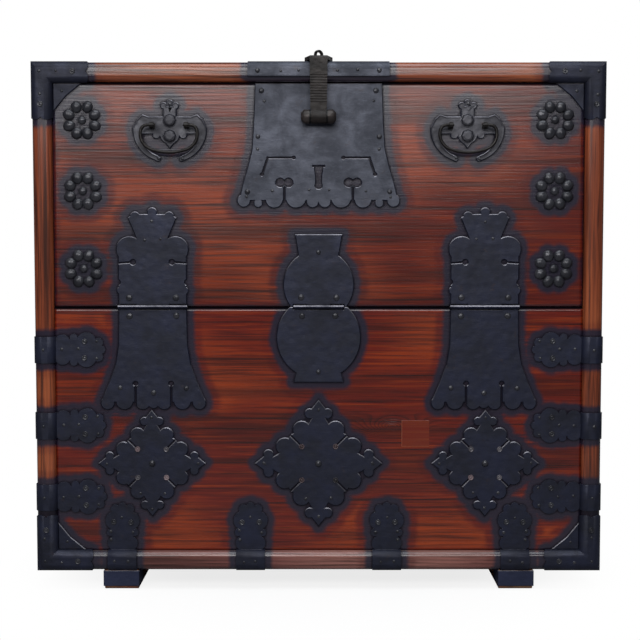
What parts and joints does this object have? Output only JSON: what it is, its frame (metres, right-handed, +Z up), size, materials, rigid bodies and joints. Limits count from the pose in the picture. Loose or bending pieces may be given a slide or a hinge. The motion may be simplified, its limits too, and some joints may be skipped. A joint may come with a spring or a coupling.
{
  "type": "korean bandaji chest",
  "caption": "Wooden chest whose upper front drops forward as a door, with pierced iron plates, cloud-headed straps, waisted hinges, ring rosettes, a reeded hasp and carrying bails.",
  "frame": {"origin": "on the floor, in the middle of the chest's outline seen from above", "axes": "+X to the right seen from the front, +Y to the back, +Z up"},
  "size_m": [0.937, 0.4542, 0.8575],
  "materials": {
    "frame_wood": "dark red-brown oiled wood, slightly glossy",
    "panel_wood": "red-brown oiled wood with long horizontal grain",
    "plain_wood": "plain pine, unoiled",
    "bamboo": "split bamboo pegs",
    "sheet_iron": "hammered sheet iron, blackened and waxed",
    "forged_iron": "forged iron, blackened, worn on the edges"
  },
  "bodies": {
    "carcass": {"back_board_lower": "plain_wood", "back_board_middle": "plain_wood", "back_board_upper": "plain_wood", "bamboo_pegs": "bamboo", "bottom_board": "frame_wood", "bottom_straps": "sheet_iron", "carcass_nails": "sheet_iron", "centre_hinge_lower_leaf": "sheet_iron", "corner_irons": "sheet_iron", "diamond_plates": "sheet_iron", "door_stops": "plain_wood", "foot_shoes": "sheet_iron", "hasp_staple": "forged_iron", "hinge_pins": "forged_iron", "left_foot_runner": "plain_wood", "left_side_board": "frame_wood", "lower_front_panel": "panel_wood", "panel_corner_plates": "sheet_iron", "right_foot_runner": "plain_wood", "right_side_board": "frame_wood", "side_handle_posts": "forged_iron", "side_hinge_lower_leaves": "sheet_iron", "side_straps": "sheet_iron", "top_board": "frame_wood", "top_edge_plate": "sheet_iron"},
    "door": {"door_board": "panel_wood", "left_door_batten": "plain_wood", "right_door_batten": "plain_wood", "lock_plate": "sheet_iron", "hasp_knobs": "forged_iron", "hasp_pin": "forged_iron", "side_hinge_upper_leaves": "sheet_iron", "centre_hinge_upper_leaf": "sheet_iron", "left_rosettes": "sheet_iron", "right_rosettes": "sheet_iron", "handle_plates": "sheet_iron", "handle_posts": "forged_iron", "door_corner_plates": "sheet_iron", "door_nails": "sheet_iron"},
    "hasp": {"hasp_bar": "forged_iron"},
    "front_left_bail": {"left_bail": "forged_iron"},
    "front_right_bail": {"right_bail": "forged_iron"},
    "side_left_bail": {"left_side_bail": "forged_iron"},
    "side_right_bail": {"right_side_bail": "forged_iron"}
  },
  "joints": [
    {"name": "door_drop", "type": "hinge", "parent": "carcass", "child": "door", "pos_m": [0, -0.2064, 0.453], "axis": [1, 0, 0], "range_deg": [0, 175]},
    {"name": "hasp_swing", "type": "hinge", "parent": "door", "child": "hasp", "pos_m": [0, -0.2161, 0.751], "axis": [-1, 0, 0], "range_deg": [-175, 0]},
    {"name": "left_bail_swing", "type": "hinge", "parent": "door", "child": "front_left_bail", "pos_m": [-0.234, -0.2167, 0.738], "axis": [-1, 0, 0], "range_deg": [0, 170]},
    {"name": "right_bail_swing", "type": "hinge", "parent": "door", "child": "front_right_bail", "pos_m": [0.234, -0.2167, 0.738], "axis": [-1, 0, 0], "range_deg": [0, 170]},
    {"name": "left_side_bail_swing", "type": "hinge", "parent": "carcass", "child": "side_left_bail", "pos_m": [-0.462, 0, 0.591], "axis": [0, 1, 0], "range_deg": [0, 170]},
    {"name": "right_side_bail_swing", "type": "hinge", "parent": "carcass", "child": "side_right_bail", "pos_m": [0.462, 0, 0.591], "axis": [0, -1, 0], "range_deg": [0, 170]}
  ]
}
